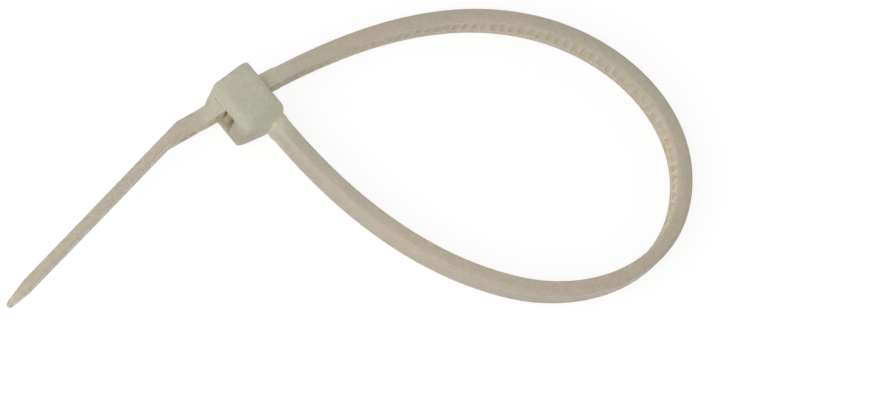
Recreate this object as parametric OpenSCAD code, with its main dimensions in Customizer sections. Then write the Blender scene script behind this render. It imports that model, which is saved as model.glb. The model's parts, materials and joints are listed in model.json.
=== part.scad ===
// Self-locking cable tie, closed into a loop and lying on a table.
// It is drawn in a plan frame with the middle of the head's slot at [0, 0], +X along the loop
// and +Z across the strap, and then laid on the table. Millimetres and degrees.

/* [Strap] */
// Width of the strap
strap_w = 2.5; // [2:0.1:4]
// Thickness of the strap over its rails
strap_t = 1.05; // [0.9:0.05:1.5]
// Length of the strap from the head to its tip
strap_len = 98.8; // [92:0.2:130]
// Width of each edge rail beside the toothed channel
rail_w = 0.42; // [0.3:0.02:0.6]
// Depth of the toothed channel below the rails
channel_d = 0.36; // [0.25:0.01:0.5]
// How far the tooth tips stay below the rails
tip_drop = 0.04; // [0.02:0.01:0.1]
// Distance from one tooth to the next
tooth_pitch = 0.7; // [0.5:0.05:1]
// Length of the flat tip of a tooth
tooth_land = 0.1; // [0.05:0.01:0.2]
// How far the steep side of a tooth leans
tooth_lean = 0.05; // [0.02:0.01:0.1]
// Plain stretch between the head and the first tooth
plain_l = 3.2; // [3:0.1:6]

/* [Thumb dimple] */
// Gap between the head and the dimple in the strap's outer face
dimple_from = 0.1; // [0.05:0.05:0.5]
// Length of the dimple
dimple_l = 2.4; // [1.8:0.1:2.8]
// Width of the dimple
dimple_w = 1.7; // [1:0.1:1.8]
// Depth of the dimple
dimple_d = 0.15; // [0.1:0.05:0.3]

/* [Loop] */
// Place of the loop's lowest point along X
low_x = 21.4; // [18:0.1:24]
// Distance of the loop's lowest point below the slot
low_y = 8.7; // [7:0.1:12]
// Place of the loop's far end along X
far_x = 32.2; // [29:0.1:38]
// Distance of the loop's far end above the slot
far_y = 0.2; // [-1:0.1:2]
// Place of the loop's highest point along X
high_x = 19.8; // [17:0.1:23]
// Distance of the loop's highest point above the slot
high_y = 10.5; // [8:0.1:14]

/* [Tail] */
// Straight run from the middle of the slot to the bend of the tail
run_l = 5.4; // [5:0.1:8]
// Turn of the bend
bend_turn = 16; // [10:1:30]
// Thickness of the tail past the bend
tail_t = 0.74; // [0.6:0.02:0.9]
// Width of the tail where its point starts
tail_w = 1.9; // [1.4:0.1:2.4]
// Length of the tail's point
point_l = 1.8; // [1:0.1:4]
// Width of the tail at its very end
point_w = 0.9; // [0.4:0.1:1.2]
// Thickness of the tail at its very end
point_t = 0.4; // [0.3:0.05:0.6]

/* [Head] */
// Length of the head from its back to the strap
head_l = 4.6; // [4:0.05:6]
// Width of the head across the strap
head_w = 4.7; // [4.2:0.1:7]
// Depth of the head along its slot
head_d = 3.3; // [3:0.1:4.5]
// Distance from the back of the head to the middle of the slot
slot_back = 1.55; // [1.5:0.05:1.9]
// Rounding of the head's edges
head_r = 0.65; // [0.3:0.05:0.7]
// Rounding of the head's two back corners
corner_r = 0.8; // [0.5:0.05:1]
// How far the head's front slopes back from the strap to the exit face
front_slope = 0.6; // [0.3:0.05:1]
// How far the head's entry face stands above the strap's toothed face
face_step = 0.15; // [0.03:0.01:0.2]
// Heading of the neck below the X axis
neck_angle = 39; // [30:1:45]
// How far the strap leans away from the slot's own direction
strap_lean = 7; // [4:0.5:10]

/* [Pawl] */
// Clearance around the strap in the slot
slot_gap = 0.1; // [0.06:0.01:0.2]
// Clearance between the pawl and the strap
pawl_gap = 0.06; // [0.05:0.01:0.1]
// Clearance on each side of the pawl
pawl_side = 0.2; // [0.15:0.05:0.3]
// Thickness of the pawl behind its teeth
pawl_t = 0.42; // [0.35:0.01:0.5]
// Room behind the pawl for it to flex
flex_gap = 0.2; // [0.15:0.01:0.3]
// Thickness of the pawl's hinge
hinge_t = 0.3; // [0.2:0.02:0.4]
// Free height of the hinge between the head and the pawl
hinge_l = 0.35; // [0.2:0.05:0.5]
// Depth of the solid ledge that the hinge hangs from
ledge = 0.7; // [0.5:0.05:0.9]
// How far the pawl's end stays inside the head's exit face
pawl_inset = 0.3; // [0.2:0.05:0.5]
// Number of teeth on the pawl
pawl_teeth = 2; // [1:1:2]
// Size of the chamfer around the slot's mouth
mouth = 0.3; // [0.2:0.05:0.4]

/* [Rest] */
// Direction in which the loop sinks to the table, from the X axis
rest_heading = 10; // [-20:1:20]

/* [Hidden] */
nylon = [0.72, 0.69, 0.61];
$fn = 48;
// Points worked out along each round stretch of the loop
stretch_steps = 120;
// Length of the strap's own facets
facet_l = tooth_pitch / 2;
// Distance over which the route's direction is taken
look = 0.2;
// How far a cut runs past the face that it opens, and a piece into what carries it
past = 0.3;
// How far the head's front runs on inside the strap
seat = 0.12;

function unit(a) = [cos(a), sin(a)];
function left(v) = [-v.y, v.x];

// Places in the head: +X along the neck and +Y out of the entry face, from the middle of the slot
function in_head(p) = p.x * unit(-neck_angle) + p.y * left(unit(-neck_angle));
head_front = head_l - slot_back;
head_top = head_d / 2;
neck_y = head_top - face_step - strap_t / 2;
slot_heading = 270 - neck_angle - strap_lean;
strap_root = head_front - head_r - past;

// A round stretch of the route from p to q, with headings a and b at its ends
function stretch(p, a, q, b) =
    let (
        handle = norm(q - p) / 3 / cos((b - a) / 4) ^ 2,
        c = p + handle * unit(a),
        d = q - handle * unit(b)
    )
    [for (i = [0:stretch_steps - 1])
        let (u = i / stretch_steps, v = 1 - u)
        v ^ 3 * p + 3 * v ^ 2 * u * c + 3 * v * u ^ 2 * d + u ^ 3 * q];

// The strap's middle line from the neck around the loop to the slot
neck_point = in_head([head_front, neck_y]);
low_point = [low_x, -low_y];
far_point = [far_x, far_y];
high_point = [high_x, high_y];
slot_point = [0, 0];
loop = concat(
    stretch(neck_point, -neck_angle, low_point, 0),
    stretch(low_point, 0, far_point, 90),
    stretch(far_point, 90, high_point, 180),
    stretch(high_point, 180, slot_point, slot_heading)
);

// The strap leaves the slot straight, up to the bend where the thinner tail starts
bend_point = slot_point + run_l * unit(slot_heading);
route = concat(loop, [slot_point, bend_point]);

// Distance along the route, the place at a distance, and the way to the toothed side there
last = len(route) - 1;
run = [for (i = 0, s = 0; i <= last; s = s + norm(route[min(i + 1, last)] - route[i]), i = i + 1) s];
route_x = [for (i = [0:last]) [run[i], route[i].x]];
route_y = [for (i = [0:last]) [run[i], route[i].y]];
function at(s) = [lookup(s, route_x), lookup(s, route_y)];
function inward(s) = let (d = at(s + look) - at(s - look)) left(d) / norm(d);
function beside(s, y) = at(s) + y * inward(s);

slot_s = run[len(loop)];
bend_s = run[last];

// Places in the tail: +X to its tip and +Y to the toothed side, from the bend
tail_heading = slot_heading + bend_turn;
tail_l = strap_len - bend_s;
function in_tail(p) = bend_point + p.x * unit(tail_heading) + p.y * left(unit(tail_heading));

// The tail is thinner on both sides, so the outer face turns this far before the bend
// and the toothed face this far past it
mitre = (strap_t * cos(bend_turn) - tail_t) / 2 / sin(bend_turn);
full_s = bend_s - mitre;

// Teeth run from the plain stretch to where the outer face turns
teeth = floor((full_s - plain_l) / tooth_pitch);
function tooth_s(i) = plain_l + i * tooth_pitch;
teeth_end = tooth_s(teeth);

// Heights of the strap's faces, from its middle line
outer_y = -strap_t / 2;
rail_y = strap_t / 2;
floor_y = rail_y - channel_d;
tip_y = rail_y - tip_drop;

facets = ceil(full_s / facet_l);
stations = [for (i = [0:facets]) full_s * i / facets];
tail_side = [[tail_l - point_l, tail_t / 2], [tail_l, point_t / 2]];
ribbon = concat(
    [for (s = stations) beside(s, outer_y)],
    [for (p = tail_side) in_tail([p.x, -p.y])],
    [in_tail(tail_side[1]), in_tail(tail_side[0])],
    [bend_point + mitre * unit(slot_heading) + rail_y * left(unit(slot_heading))],
    [for (i = [facets:-1:0]) beside(stations[i], rail_y)],
    [in_head([strap_root, neck_y + rail_y]), in_head([strap_root, neck_y + outer_y])]
);

// A tooth is steep towards the neck and falls as a ramp towards the tip
ramp_l = tooth_pitch - tooth_lean - tooth_land;
ramp_slope = (tip_y - floor_y) / ramp_l;
channel = concat(
    [for (i = [0:teeth - 1]) each [
        beside(tooth_s(i), floor_y),
        beside(tooth_s(i) + tooth_lean, tip_y),
        beside(tooth_s(i) + tooth_lean + tooth_land, tip_y)
    ]],
    [beside(teeth_end, floor_y)],
    [for (i = [teeth:-0.5:0]) beside(tooth_s(i), rail_y + past)]
);
channel_w = strap_w - 2 * rail_w;

// The slot leans with the strap that passes through it
slot_w = strap_w + 2 * slot_gap;
slot_half = (strap_t / 2 + slot_gap) / cos(strap_lean);
function slot_x(y) = y * tan(strap_lean);

// The head narrows to the strap in a shoulder at 45 degrees on both sides, and its front slopes
shoulder = (head_w - strap_w) / 2;
shoulder_round = [head_front - shoulder - head_r * tan(22.5), head_w / 2 - head_r];
strap_outer = neck_y + outer_y;
front_rise = front_slope / (head_top + strap_outer);
front_angle = atan(front_rise);
exit_round = [
    head_front - front_rise * (head_top + strap_outer - head_r) - head_r / cos(front_angle),
    head_r - head_top
];

// A plate of an outline, centred on the strap's middle plane
module plate(width) {
    translate([0, 0, -width / 2])
        linear_extrude(width)
            children();
}

// Stands an outline drawn on the broad side up, so that its thickness runs along +Y from y = 0
module broadside(depth) {
    rotate([-90, 0, 0])
        linear_extrude(depth)
            children();
}

// A rectangle from the corner p to the corner q with round corners
module round_rect(p, q, r) {
    translate([p.x + r, p.y])
        square([q.x - p.x - 2 * r, q.y - p.y]);
    translate([p.x, p.y + r])
        square([q.x - p.x, q.y - p.y - 2 * r]);
    for (x = [p.x + r, q.x - r], y = [p.y + r, q.y - r])
        translate([x, y])
            circle(r);
}

module dimple() {
    s = dimple_from + dimple_l / 2;
    side = inward(s);
    translate(beside(s, outer_y - past))
        rotate(atan2(side.y, side.x) - 90)
            broadside(dimple_d + past) {
                translate([(dimple_l - dimple_w) / 2, 0])
                    circle(d = dimple_w);
                translate([-dimple_l / 2, -dimple_w / 2])
                    square([dimple_l - dimple_w / 2, dimple_w]);
            }
}

// What is cut from both edges of the tail, so that it narrows to a point
module tail_sides() {
    narrowing = (strap_w - tail_w) / 2 / (tail_l - point_l);
    translate(bend_point)
        rotate(tail_heading)
            for (side = [0, 1])
                mirror([0, 0, side])
                    translate([0, -strap_t, 0])
                        broadside(2 * strap_t)
                            polygon([
                                [-past, strap_w / 2 + past * narrowing], [tail_l - point_l, tail_w / 2],
                                [tail_l, point_w / 2], [tail_l + past, point_w / 2],
                                [tail_l + past, strap_w], [-past, strap_w]
                            ]);
}

module strap() {
    color(nylon)
        difference() {
            plate(strap_w)
                polygon(ribbon);
            plate(channel_w)
                polygon(channel);
            dimple();
            tail_sides();
        }
}

// Circles of one radius at several places
module rounds(places, r) {
    for (p = places)
        translate(p)
            circle(r);
}

// The head from its side: rounded, with a front that slopes from the strap to the exit face
module side_outline() {
    back_x = head_r - slot_back;
    round_y = head_top - head_r;
    rounds([[back_x, -round_y], [back_x, round_y], [head_front - head_r, round_y], exit_round], head_r);
    polygon([
        [-slot_back, -round_y], [back_x, -head_top], [exit_round.x, -head_top],
        exit_round + head_r * unit(-front_angle),
        [head_front + seat * front_rise, strap_outer + seat],
        [head_front + seat, strap_outer + seat], [head_front + seat, round_y],
        [head_front - head_r, head_top], [back_x, head_top], [-slot_back, round_y]
    ]);
}

// The head from its broad side, with its two shoulders
module broad_outline() {
    back = [corner_r - slot_back, head_w / 2 - corner_r];
    for (side = [0, 1])
        mirror([0, side]) {
            rounds([back], corner_r);
            rounds([shoulder_round], head_r);
            polygon([
                [-slot_back, 0], [-slot_back, back.y], [back.x, head_w / 2], [shoulder_round.x, head_w / 2],
                shoulder_round + head_r * unit(45), [head_front + seat, strap_w / 2 - seat],
                [head_front + seat, 0]
            ]);
        }
}

// The head's block, drawn from its side, its broad side and its end
module block() {
    intersection() {
        plate(head_w)
            side_outline();
        translate([0, -head_top, 0])
            broadside(head_d)
                broad_outline();
        translate([-slot_back, 0, 0])
            rotate([90, 0, 90])
                linear_extrude(head_l + seat)
                    round_rect([-head_top, -head_w / 2], [head_top, head_w / 2], head_r);
    }
}

// The slot with its chamfered mouth
module slot() {
    rotate(-90 - strap_lean)
        plate(slot_w)
            translate([-head_d, outer_y - slot_gap])
                square([2 * head_d, strap_t + 2 * slot_gap]);
    reach = mouth + past;
    mouth_x = slot_x(head_top - mouth);
    intersection() {
        plate(slot_w + 2 * reach)
            polygon([
                [mouth_x - slot_half, head_top - mouth], [mouth_x + slot_half, head_top - mouth],
                [mouth_x + slot_half + reach, head_top + past], [mouth_x - slot_half - reach, head_top + past]
            ]);
        translate([mouth_x - slot_half - reach, 0, 0])
            rotate([90, 0, 90])
                linear_extrude(2 * (slot_half + reach))
                    polygon([
                        [head_top - mouth, -slot_w / 2], [head_top + past, -slot_w / 2 - reach],
                        [head_top + past, slot_w / 2 + reach], [head_top - mouth, slot_w / 2]
                    ]);
    }
}

// Pawl: its own frame has +X along the strap's way through the slot and +Y towards the neck
pawl_face = rail_y + pawl_gap;
pawl_back = pawl_face + pawl_t;
pawl_end = head_top - pawl_inset;
pawl_root = ledge + hinge_l - head_top;
pocket_x = pawl_back / cos(strap_lean) + slot_x(-pawl_root) + flex_gap;
hinge_x = slot_x(head_top - ledge) + slot_half;

module pawl_pocket() {
    translate([0, -head_top - past, -slot_w / 2])
        cube([pocket_x, head_d - ledge + past, slot_w]);
}

module pawl() {
    rotate(-90 - strap_lean) {
        plate(slot_w - 2 * pawl_side)
            polygon([
                [pawl_root, pawl_face], [pawl_end, pawl_face],
                [pawl_end, pawl_back - hinge_t / 2], [pawl_end - hinge_t / 2, pawl_back],
                [pawl_root, pawl_back]
            ]);
        // The pawl's teeth stand in the strap's own gaps
        plate(channel_w - 2 * pawl_gap)
            for (i = [0:pawl_teeth - 1]) {
                k = floor((slot_s + pawl_end - plain_l) / tooth_pitch) - i;
                tip = tooth_s(k) - slot_s - pawl_gap;
                depth = pawl_face - floor_y - pawl_gap;
                polygon([
                    [tip, pawl_face + pawl_gap], [tip, pawl_face - depth],
                    [tip - depth / ramp_slope, pawl_face], [tip - depth / ramp_slope, pawl_face + pawl_gap]
                ]);
            }
    }
    // The hinge that the pawl hangs from
    translate([hinge_x, -pawl_root - hinge_t, pawl_side - slot_w / 2])
        cube([hinge_t, hinge_l + hinge_t + past, slot_w - 2 * pawl_side]);
}

module head() {
    color(nylon)
        rotate(-neck_angle) {
            difference() {
                block();
                slot();
                pawl_pocket();
            }
            pawl();
        }
}

// Rest on the table: the head lies on its side and the loop sinks until its far end touches
rest_way = unit(rest_heading);
loop_reach = max([for (p = ribbon) p * rest_way]);
head_reach = in_head([shoulder_round.x, head_top - head_r]) * rest_way;
rest_tilt = atan((head_w - strap_w) / 2 / (loop_reach - head_reach));
rest_z = head_w / 2 * cos(rest_tilt) + head_reach * sin(rest_tilt);

// Where a point of the plan frame comes to lie, before the part is centred
function laid(p, z) =
    let (along = p * rest_way * cos(rest_tilt) + z * sin(rest_tilt), across = p * left(rest_way))
    along * rest_way + across * left(rest_way);
outline = [
    for (i = [0:len(ribbon) - 1])
        let (tip = i == len(stations) + 1 || i == len(stations) + 2, w = tip ? point_w : strap_w)
        each [laid(ribbon[i], w / 2), laid(ribbon[i], -w / 2)]
];
middle = [
    (min([for (p = outline) p.x]) + max([for (p = outline) p.x])) / 2,
    (min([for (p = outline) p.y]) + max([for (p = outline) p.y])) / 2
];

module cable_tie() {
    translate([-middle.x, -middle.y, rest_z])
        rotate(rest_tilt, [-rest_way.y, rest_way.x, 0]) {
            head();
            strap();
        }
}

cable_tie();
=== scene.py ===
"""Looks of the cable tie: natural nylon, soft studio light and the photograph's camera."""
import json
import math

import bmesh
import bpy
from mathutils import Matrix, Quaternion, Vector


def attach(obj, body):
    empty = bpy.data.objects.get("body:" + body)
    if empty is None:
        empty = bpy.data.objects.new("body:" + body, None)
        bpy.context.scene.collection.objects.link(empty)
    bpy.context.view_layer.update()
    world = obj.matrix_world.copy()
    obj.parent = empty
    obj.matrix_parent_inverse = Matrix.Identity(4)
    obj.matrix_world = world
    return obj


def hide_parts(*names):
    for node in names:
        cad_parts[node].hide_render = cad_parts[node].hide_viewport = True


MM = 0.001

# Camera: places, lens and sensor in millimetres, roll in degrees, clipping in metres
CAMERA_AT = (-22.26, -73.50, 227.26)
CAMERA_AIM = (5.70, -0.62, 2.0)
CAMERA_ROLL = 32.85
LENS = 137.75
SENSOR = 36
CLIP_NEAR = 0.01
CLIP_FAR = 10

# Lamp: its place and its size in metres, its power in watts
LAMP_AT = (-0.05, -0.05, 0.09)
LAMP_SIZE = 0.12
LAMP_POWER = 0.07

# Strength of the surroundings' light, at the horizon and overhead
LOW_SKY = 0.95
HIGH_SKY = 0.35

# Floor: half its side in metres, how far it lies under the tie in millimetres, its tone for light
# that bounces off it, and its tone and glow as the camera sees it
FLOOR_HALF = 3.0
FLOOR_DROP = 0.01
FLOOR_BOUNCE = 0.85
FLOOR_SEEN = 0.18
FLOOR_GLOW = 0.86

# Tones of the nylon, and what multiplies them: painted shade at the slot's mouth, clouds and the
# grain
STRAP_TONE = (0.455, 0.408, 0.322, 1)
# The head's greener tint, which is also painted light: paler on its upper side, leaving the exit
# face darker as in shade
HEAD_TINT_AND_LIGHT = (0.49, 0.475, 0.375, 1)
# Painted shade, darker and warmer, in the slot's mouth
MOUTH_PAINTED_SHADE = (0.86, 0.79, 0.72, 1)
COOL_CLOUD = (0.96, 0.985, 0.97, 1)
WARM_CLOUD = (1.04, 1.005, 1.0, 1)
DULL_GRAIN = 0.95
CLEAR_GRAIN = 1.05

# Height over the head's lower side of the centre of the head's tint and painted light, place of
# the painted shade at the slot's mouth, and the distances between which each fades, in
# millimetres
HEAD_LIGHT_HIGH = 3.2
HEAD_LIGHT_FADE = (2.3, 5.0)
MOUTH_SHADE_AT = (-9.7, 1.6, 2.0)
MOUTH_SHADE_FADE = (0.8, 2.6)

# Sizes of the nylon's features and heights of its bumps, in millimetres
CLOUD_SIZE = 6
GRAIN_SIZE = 0.3
GLOSS_SIZE = 0.8
WAVE_SIZE = 1.5
WAVE_HIGH = 0.015
FINE_SIZE = 0.12
FINE_HIGH = 0.002

# The part of the noise that takes the tone or the gloss from one end to the other
NOISE_CORE = (0.3, 0.7)
NOISE_MOST = (0.25, 0.75)

# Gloss of the nylon, and how deep light goes into it, in millimetres and by colour
ROUGHNESS = (0.34, 0.5)
REFRACTION = 1.53
REFLECTION = 0.2
GLOW_DEPTH = 1.1
GLOW_COLOURS = (1, 0.95, 0.85)

# Roundings that the mould leaves on the edges, in millimetres: the strap's outer face, its rails,
# the tip, the rim of the dimple, and the number of steps in each
ROUND_MOST = 0.26
ROUND_RAIL = 0.14
ROUND_TIP = 0.13
ROUND_RIM = 0.04
ROUND_STEPS = 4

# How the mesh is joined and its edges are told apart: corners this near are one, faces this flat
# are merged, edges this sharp are rounded, and this sharp after it they stay creases
WELD = 0.002
FLAT = math.radians(0.2)
SHARP = math.radians(50)
CREASE = math.radians(32)

# How nearly a side face of the strap has to face across it, as a cosine
SIDEWAYS = 0.99

# Half the width of the channel and the dimple, and reaches from the middle of the head, or from
# the tip, in millimetres
CHANNEL_HALF = 1.0
HEAD_REACH = 3.4
NECK_REACH = 6.5
TAIL_REACH = 5.4
TIP_REACH = 2.6

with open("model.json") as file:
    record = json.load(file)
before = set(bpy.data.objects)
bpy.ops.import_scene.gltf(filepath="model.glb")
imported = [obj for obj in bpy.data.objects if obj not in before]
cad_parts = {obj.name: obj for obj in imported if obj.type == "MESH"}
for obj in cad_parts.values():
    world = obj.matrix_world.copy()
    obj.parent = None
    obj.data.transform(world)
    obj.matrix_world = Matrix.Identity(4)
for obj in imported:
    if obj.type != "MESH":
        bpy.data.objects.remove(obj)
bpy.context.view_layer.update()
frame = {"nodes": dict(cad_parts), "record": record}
mounts = {mount["name"]: mount for mount in frame["record"]["mounts"]}

# The tie lies on its side: this way runs across the strap, from the head's lower side upward
ACROSS = -Vector(mounts["head_side"]["axis"])
HEAD_FOOT = Vector(mounts["head_side"]["pos_m"])
MIDDLE_OF_LOOP = Vector(mounts["bundle_loop"]["pos_m"])


def added(name, data):
    """A new object in the scene."""
    made = bpy.data.objects.new(name, data)
    bpy.context.collection.objects.link(made)
    return made


def grey(level):
    return (level, level, level, 1)


def wire(tree, made, inputs):
    """Puts values, or other nodes' outputs, on a node's inputs."""
    for name, value in inputs.items():
        if isinstance(value, bpy.types.NodeSocket):
            tree.links.new(value, made.inputs[name])
        else:
            made.inputs[name].default_value = value


def node(tree, kind, inputs=None, **settings):
    """A new node with its settings and its inputs."""
    made = tree.nodes.new("ShaderNode" + kind)
    for name, value in settings.items():
        setattr(made, name, value)
    wire(tree, made, inputs or {})
    return made


def noise(tree, place, size, detail):
    """Noise from 0 to 1 with features of a size in millimetres."""
    inputs = {"Vector": place, "Scale": 1 / (size * MM), "Detail": detail}
    return node(tree, "TexNoise", inputs).outputs[0]


def distance(tree, place, point):
    inputs = {0: place, 1: point}
    return node(tree, "VectorMath", inputs, operation="DISTANCE").outputs["Value"]


def ranged(tree, value, old, new, interpolation="SMOOTHSTEP"):
    """A value taken from an old range to a new one."""
    inputs = {"Value": value, "From Min": old[0], "From Max": old[1],
              "To Min": new[0], "To Max": new[1]}
    return node(tree, "MapRange", inputs, interpolation_type=interpolation).outputs["Result"]


def near(tree, place, point, fade):
    """One at a point, falling to zero between two distances from it in millimetres."""
    return ranged(tree, distance(tree, place, point), [reach * MM for reach in fade], (1, 0))


def mixed(tree, amount, first, second, blend="MIX"):
    """A colour mixed from two."""
    inputs = {"Factor": amount, "A": first, "B": second}
    return node(tree, "Mix", inputs, data_type="RGBA", blend_type=blend).outputs["Result"]


def bumps(tree, relief, high, normal=None):
    """A surface normal with bumps of a relief from 0 to 1 and a height in millimetres."""
    inputs = {"Height": relief, "Distance": high * MM}
    if normal:
        inputs["Normal"] = normal
    return node(tree, "Bump", inputs).outputs["Normal"]


def seen_rays(tree):
    """One for rays from the camera and in reflections and glass, else zero."""
    rays = node(tree, "LightPath").outputs
    total = rays["Is Camera Ray"]
    for kind in ("Is Glossy Ray", "Is Transmission Ray"):
        total = node(tree, "Math", {0: total, 1: rays[kind]}, operation="MAXIMUM").outputs[0]
    return total


def new_material(name):
    """A node material, with its node tree and its shader."""
    material = bpy.data.materials.new(name)
    material.use_nodes = True
    tree = material.node_tree
    return material, tree, tree.nodes["Principled BSDF"]


def height(point):
    """How far a point lies above the head's lower side."""
    return (point - HEAD_FOOT).dot(ACROSS)


def rounding_rule(form):
    """What gives the radius of an edge's rounding in millimetres."""
    places = [vert.co for vert in form.verts]
    heights = [height(place) for place in places]
    middle = (min(heights) + max(heights)) / 2
    head = HEAD_FOOT + ACROSS * middle
    tip = max((place for place in places if place.x < head.x), key=lambda p: (p - head).length)

    def within(point, centre, reach):
        return (point - centre).length < reach * MM

    def in_channel(point):
        return abs(height(point) - middle) < CHANNEL_HALF * MM

    def in_tail(point):
        return (point - head).dot(tip - head) > 0 and not within(point, head, TAIL_REACH)

    def in_neck(point):
        return within(point, head, NECK_REACH) and point.y < head.y and not in_tail(point)

    def rounding(edge):
        if len(edge.link_faces) != 2 or edge.calc_face_angle(0) < SHARP:
            return 0
        ends = [vert.co for vert in edge.verts]
        if any(within(end, head, HEAD_REACH) for end in ends):
            return 0
        if all(in_channel(end) for end in ends) and not in_tail(ends[0]):
            return ROUND_RIM if in_neck(ends[0]) else 0
        if any(within(end, tip, TIP_REACH) for end in ends):
            return ROUND_TIP
        broad = min(edge.link_faces, key=lambda face: abs(face.normal.dot(ACROSS)))
        faces_inward = broad.normal.dot(MIDDLE_OF_LOOP - ends[0]) > 0
        return ROUND_RAIL if faces_inward else ROUND_MOST

    return rounding


def moulding():
    """The tie's own form, with the roundings of a moulded piece."""
    mesh = frame["nodes"]["cable_tie"].data.copy()
    piece = added("moulded_tie", mesh)
    form = bmesh.new()
    form.from_mesh(mesh)
    bmesh.ops.remove_doubles(form, verts=form.verts, dist=WELD * MM)
    # The strap's two sides keep their triangles, because a single face that runs around the
    # whole loop can be filled by a tool that reads the mesh
    inner = [edge for edge in form.edges
             if any(abs(face.normal.dot(ACROSS)) < SIDEWAYS for face in edge.link_faces)]
    bmesh.ops.dissolve_limit(form, angle_limit=FLAT, verts=[], edges=inner)

    rounding = rounding_rule(form)
    weight = form.edges.layers.float.new("bevel_weight_edge")
    for edge in form.edges:
        edge[weight] = rounding(edge) / ROUND_MOST
    for face in form.faces:
        face.smooth = True
    form.to_mesh(mesh)
    form.free()
    mesh.materials.clear()

    rounded = piece.modifiers.new("rounded", "BEVEL")
    rounded.limit_method = "WEIGHT"
    rounded.width = ROUND_MOST * MM
    rounded.segments = ROUND_STEPS
    rounded.use_clamp_overlap = False
    mesh.set_sharp_from_angle(angle=CREASE)
    piece.modifiers.new("triangles", "TRIANGULATE")
    weighted = piece.modifiers.new("weighted", "WEIGHTED_NORMAL")
    weighted.keep_sharp = True

    # The rounded mesh takes the place of the plain one and its modifiers
    bpy.context.view_layer.update()
    graph = bpy.context.evaluated_depsgraph_get()
    final = bpy.data.meshes.new_from_object(
        piece.evaluated_get(graph), preserve_all_data_layers=True, depsgraph=graph)
    final.name = "moulded_tie"
    piece.modifiers.clear()
    piece.data = final
    bpy.data.meshes.remove(mesh)
    return piece


def nylon():
    """Milky nylon: clouded, finely grained, greener at the thick head with painted light that
    makes its upper side paler than the exit face, and with painted shade, darker and warmer, at
    the slot's mouth."""
    material, tree, shader = new_material("natural_nylon")
    place = node(tree, "TexCoord").outputs["Object"]

    # Greener tint of the head and painted light: paler towards its upper side, so the exit face
    # stays darker as in shade
    in_head_light = near(tree, place, HEAD_FOOT + ACROSS * HEAD_LIGHT_HIGH * MM, HEAD_LIGHT_FADE)
    tone = mixed(tree, in_head_light, STRAP_TONE, HEAD_TINT_AND_LIGHT)
    # Painted shade: darker and warmer in the slot's mouth
    in_mouth_shade = near(tree, place, Vector(MOUTH_SHADE_AT) * MM, MOUTH_SHADE_FADE)
    tone = mixed(tree, in_mouth_shade, tone, MOUTH_PAINTED_SHADE, "MULTIPLY")
    clouds = ranged(tree, noise(tree, place, CLOUD_SIZE, 1), NOISE_CORE, (0, 1))
    clouds = mixed(tree, clouds, COOL_CLOUD, WARM_CLOUD)
    tone = mixed(tree, 1, tone, clouds, "MULTIPLY")
    grain = ranged(tree, noise(tree, place, GRAIN_SIZE, 3), NOISE_MOST, (0, 1))
    grain = mixed(tree, grain, grey(DULL_GRAIN), grey(CLEAR_GRAIN))
    tone = mixed(tree, 1, tone, grain, "MULTIPLY")

    gloss = ranged(tree, noise(tree, place, GLOSS_SIZE, 3), NOISE_CORE, ROUGHNESS)
    waves = bumps(tree, noise(tree, place, WAVE_SIZE, 1), WAVE_HIGH)
    fine = bumps(tree, noise(tree, place, FINE_SIZE, 2), FINE_HIGH, waves)

    shader.subsurface_method = "BURLEY"
    wire(tree, shader, {
        "Base Color": tone,
        "Roughness": gloss,
        "Normal": fine,
        "IOR": REFRACTION,
        "Specular IOR Level": REFLECTION,
        "Subsurface Weight": 1,
        "Subsurface Radius": GLOW_COLOURS,
        "Subsurface Scale": GLOW_DEPTH * MM,
    })
    return material


def studio():
    """White floor and white surroundings."""
    mesh = bpy.data.meshes.new("floor")
    half = FLOOR_HALF
    corners = [(-half, -half, 0), (half, -half, 0), (half, half, 0), (-half, half, 0)]
    mesh.from_pydata(corners, [], [(0, 1, 2, 3)])
    floor = added("floor", mesh)
    floor.location.z = -FLOOR_DROP * MM
    material, tree, shader = new_material("floor_white")
    seen = seen_rays(tree)
    wire(tree, shader, {
        "Base Color": mixed(tree, seen, grey(FLOOR_BOUNCE), grey(FLOOR_SEEN)),
        "Roughness": 1,
        "Specular IOR Level": 0,
        "Emission Color": grey(FLOOR_GLOW),
        "Emission Strength": seen,
    })
    mesh.materials.append(material)

    world = bpy.data.worlds.new("studio")
    bpy.context.scene.world = world
    world.use_nodes = True
    tree = world.node_tree
    way = node(tree, "TexCoord").outputs["Generated"]
    up = node(tree, "SeparateXYZ", {"Vector": way}).outputs["Z"]
    sky = ranged(tree, up, (0, 1), (LOW_SKY, HIGH_SKY), "LINEAR")
    strength = node(tree, "Mix", {"Factor": seen_rays(tree), "A": sky, "B": 1})
    wire(tree, tree.nodes["Background"], {
        "Color": grey(1),
        "Strength": strength.outputs["Result"],
    })


def lamp():
    data = bpy.data.lights.new("key", "AREA")
    data.shape = "DISK"
    data.size = LAMP_SIZE
    data.energy = LAMP_POWER
    made = added("key", data)
    made.location = LAMP_AT
    made.rotation_euler = (-Vector(LAMP_AT)).to_track_quat("-Z", "Y").to_euler()
    made.visible_camera = False


def camera():
    data = bpy.data.cameras.new("camera")
    data.lens = LENS
    data.sensor_width = SENSOR
    data.clip_start = CLIP_NEAR
    data.clip_end = CLIP_FAR
    made = added("camera", data)
    way = (Vector(CAMERA_AIM) - Vector(CAMERA_AT)).to_track_quat("-Z", "Y")
    made.rotation_mode = "QUATERNION"
    made.rotation_quaternion = way @ Quaternion((0, 0, 1), math.radians(CAMERA_ROLL))
    made.location = Vector(CAMERA_AT) * MM
    bpy.context.scene.camera = made


camera()
tie = moulding()
tie.data.materials.append(nylon())
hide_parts("cable_tie")
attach(tie, "root")
studio()
lamp()
bpy.context.scene.view_settings.view_transform = "Standard"
